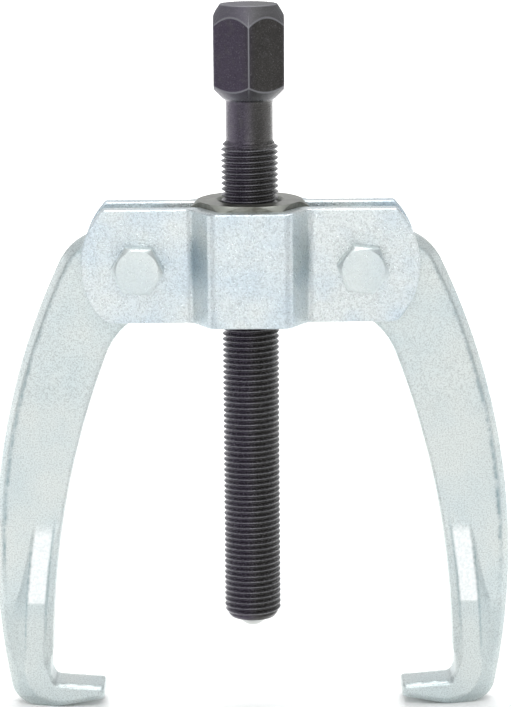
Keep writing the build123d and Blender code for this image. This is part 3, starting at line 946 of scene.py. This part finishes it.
def prism(name, outline, low, high, along_y=False):
    """A solid with a flat outline, from low to high along Z, or along Y."""

    def place(p, h):
        return (p.x, h, p.y) if along_y else (p.x, p.y, h)

    work = bmesh.new()
    rings = [[work.verts.new(place(p, h)) for p in outline] for h in (low, high)]
    count = len(outline)
    for j in range(count):
        k = (j + 1) % count
        work.faces.new((rings[0][j], rings[0][k], rings[1][k], rings[1][j]))
    work.faces.new(rings[0][::-1])
    work.faces.new(rings[1])
    bmesh.ops.recalc_face_normals(work, faces=work.faces)
    mesh = bpy.data.meshes.new(name)
    work.to_mesh(mesh)
    work.free()
    solid = bpy.data.objects.new(name, mesh)
    bpy.context.scene.collection.objects.link(solid)
    return solid


def circle(x, z, radius, count=40):
    """A round outline seen from the front."""
    turns = [2 * math.pi * i / count for i in range(count)]
    return [Vector((x + radius * math.cos(t), z + radius * math.sin(t))) for t in turns]


def ear_outline():
    """The plate seen from the front: straight top and bottom, ends on a large radius."""
    middle = (PLATE_LOW + PLATE_HIGH) / 2
    half = (PLATE_HIGH - PLATE_LOW) / 2
    centre = EAR_END - EAR_END_R
    reach = math.asin(half / EAR_END_R)
    right = []
    for i in range(EAR_END_STEPS + 1):
        turn = reach * (2 * i / EAR_END_STEPS - 1)
        right.append(Vector((centre + EAR_END_R * math.cos(turn), middle + EAR_END_R * math.sin(turn))))
    right = [p for p in right if p.y > PLATE_LOW + LOWER_CORNER]
    corner = right[0].x
    right = [Vector((corner - inset, PLATE_LOW + up)) for inset, up in LOWER_EASE] + right
    return right + [Vector((-p.x, p.y)) for p in reversed(right)]


def cut_with(solid, operation, cutter):
    """Applies one boolean to a solid and removes the cutter."""
    cut = solid.modifiers.new(operation, "BOOLEAN")
    cut.operation = operation
    cut.solver = "EXACT"
    cut.object = cutter
    apply_modifiers(solid)
    bpy.data.objects.remove(cutter)


def bent_plate(name, node, back, material):
    """One plate of the crosshead; back is -1 for the front plate and 1 for the rear one."""
    fall = FACE_Y - EAR_Y
    outer_turn = FACE_X + fall / BULGE_SLOPE
    inner_shift = PLATE_T * math.tan(math.radians(BULGE_ANGLE / 2))
    end = EAR_END + CUT_MARGIN
    outer = [(FACE_X, FACE_Y, OUTER_BEND_R), (outer_turn, EAR_Y, EAR_BEND_R), (end, EAR_Y, 0)]
    inner = [
        (end, EAR_Y - PLATE_T, 0),
        (outer_turn - inner_shift, EAR_Y - PLATE_T, EAR_BEND_R),
        (FACE_X - inner_shift, FACE_Y - PLATE_T, INNER_BEND_R),
    ]
    half = outer + inner
    whole = half + [(-x, y, r) for x, y, r in reversed(half)]
    outline = [Vector((p.x, back * p.y)) for p in rounded(whole)]
    plate = prism(name, outline, PLATE_LOW - CUT_MARGIN, PLATE_HIGH + CUT_MARGIN)
    cut_with(plate, "INTERSECT", prism("ears", ear_outline(), -CUT_REACH, CUT_REACH, along_y=True))
    edges = plate.modifiers.new("edges", "BEVEL")
    edges.width = PLATE_EDGE
    edges.segments = 3
    edges.limit_method = "ANGLE"
    edges.angle_limit = math.radians(PLATE_EDGE_ANGLE)
    edges.harden_normals = True
    apply_modifiers(plate)
    # the bolt holes come after the rounding, and keep their own sharp edges under the heads
    for side in (-1, 1):
        rim = circle(side * PIVOT_X, PIVOT_Z, HOLE_R)
        cut_with(plate, "DIFFERENCE", prism("hole", rim, -CUT_REACH, CUT_REACH, along_y=True))
    plate.data.materials.append(material)
    plate.data.shade_smooth()
    plate.data.set_sharp_from_angle(angle=math.radians(PLATE_SHARP_ANGLE))
    weights = plate.modifiers.new("normals", "WEIGHTED_NORMAL")
    weights.keep_sharp = True
    apply_modifiers(plate)
    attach(plate, "crosshead")
    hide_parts(node)
    return plate


BORE_SHADE_R = 7.6 * MM            # the nut's countersink is painted near black as shade inside this radius
NUT_MARK = 0.9
# how upright a point's normal is on the nut's rounded edges, as against its top and its sides
EDGE_LEAN_LOW, EDGE_LEAN_HIGH = 0.30, 0.88


def mark_nut(mesh):
    """Marks the nut's rounded edges, by their normals, to be painted paler for wear and highlight, and its
    countersink, to be painted near black as shade.
    """
    rim, painted_bore_shade = [], []
    for vertex in mesh.vertices:
        on_edge = EDGE_LEAN_LOW < abs(vertex.normal.z) < EDGE_LEAN_HIGH
        in_bore = math.hypot(vertex.co.x, vertex.co.y) < BORE_SHADE_R
        rim.append(NUT_MARK if on_edge and not in_bore else 0.0)
        painted_bore_shade.append(NUT_MARK if in_bore else 0.0)
    set_attribute(mesh, "rim", rim)
    set_attribute(mesh, "painted_bore_shade", painted_bore_shade)


# ======================================================================================
# Everything together
# ======================================================================================

# each zinc plating: pale and blue tints, size and depth of the grain, roughness
PLATE_ZINC = (0.71, 0.755, 0.755), (0.60, 0.69, 0.75), 0.34 * MM, 0.11 * MM, 0.30
FORGED_ZINC = (0.68, 0.725, 0.71), (0.62, 0.69, 0.695), 0.34 * MM, 0.055 * MM, 0.36
BOLT_ZINC = (0.63, 0.68, 0.675), (0.57, 0.64, 0.66), 0.4 * MM, 0.010 * MM, 0.30
# what holds a leg: a piece, the CAD node it stands for, and the round of its edges
FASTENERS = (
    ("hex_bolt", "pivot_bolt", 0.18 * MM),
    ("flat_washer", "washer", 0.15 * MM),
    ("self_locking_nut", "lock_nut", 0.12 * MM),
)
RING_EDGE = 0.1 * MM
NUT_EDGE = 0.30 * MM


def build():
    """All the pieces, in the CAD's frame."""
    plate_zinc = zinc("plate_zinc", *PLATE_ZINC)
    forged_zinc = zinc("forged_zinc", *FORGED_ZINC, marked=True)
    bolt_zinc = zinc("bolt_zinc", *BOLT_ZINC, speckle=0.90)
    oxide = black_oxide("oiled_black_oxide")
    steel = bare_steel("bare_nut_steel")
    build_spindle(oxide)
    for side, hand in ((-1, "left"), (1, "right")):
        forge_leg(f"forged_{hand}_leg", f"{hand}_leg", side, forged_zinc)
        for part, node, edge in FASTENERS:
            edged_piece(f"{hand}_{part}", f"{hand}_{node}", "crosshead", bolt_zinc, "zinc_fastener", edge)
        ring = nylon(f"{hand}_nylon")
        edged_piece(f"{hand}_nylon_ring", f"{hand}_lock_insert", "crosshead", ring, "nylon", RING_EDGE)
    bent_plate("front_bent_plate", "front_plate", -1, plate_zinc)
    bent_plate("rear_bent_plate", "rear_plate", 1, plate_zinc)
    nut = edged_piece("hexagon_spindle_nut", "spindle_nut", "crosshead", steel, "bare_steel", NUT_EDGE, 3)
    mark_nut(nut.data)
    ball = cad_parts["pressure_ball"]
    ball.data.materials.clear()
    ball.data.materials.append(polished_steel("ball_steel"))
    ball.data.shade_smooth()


make_camera()
make_studio()
make_floor()
build()
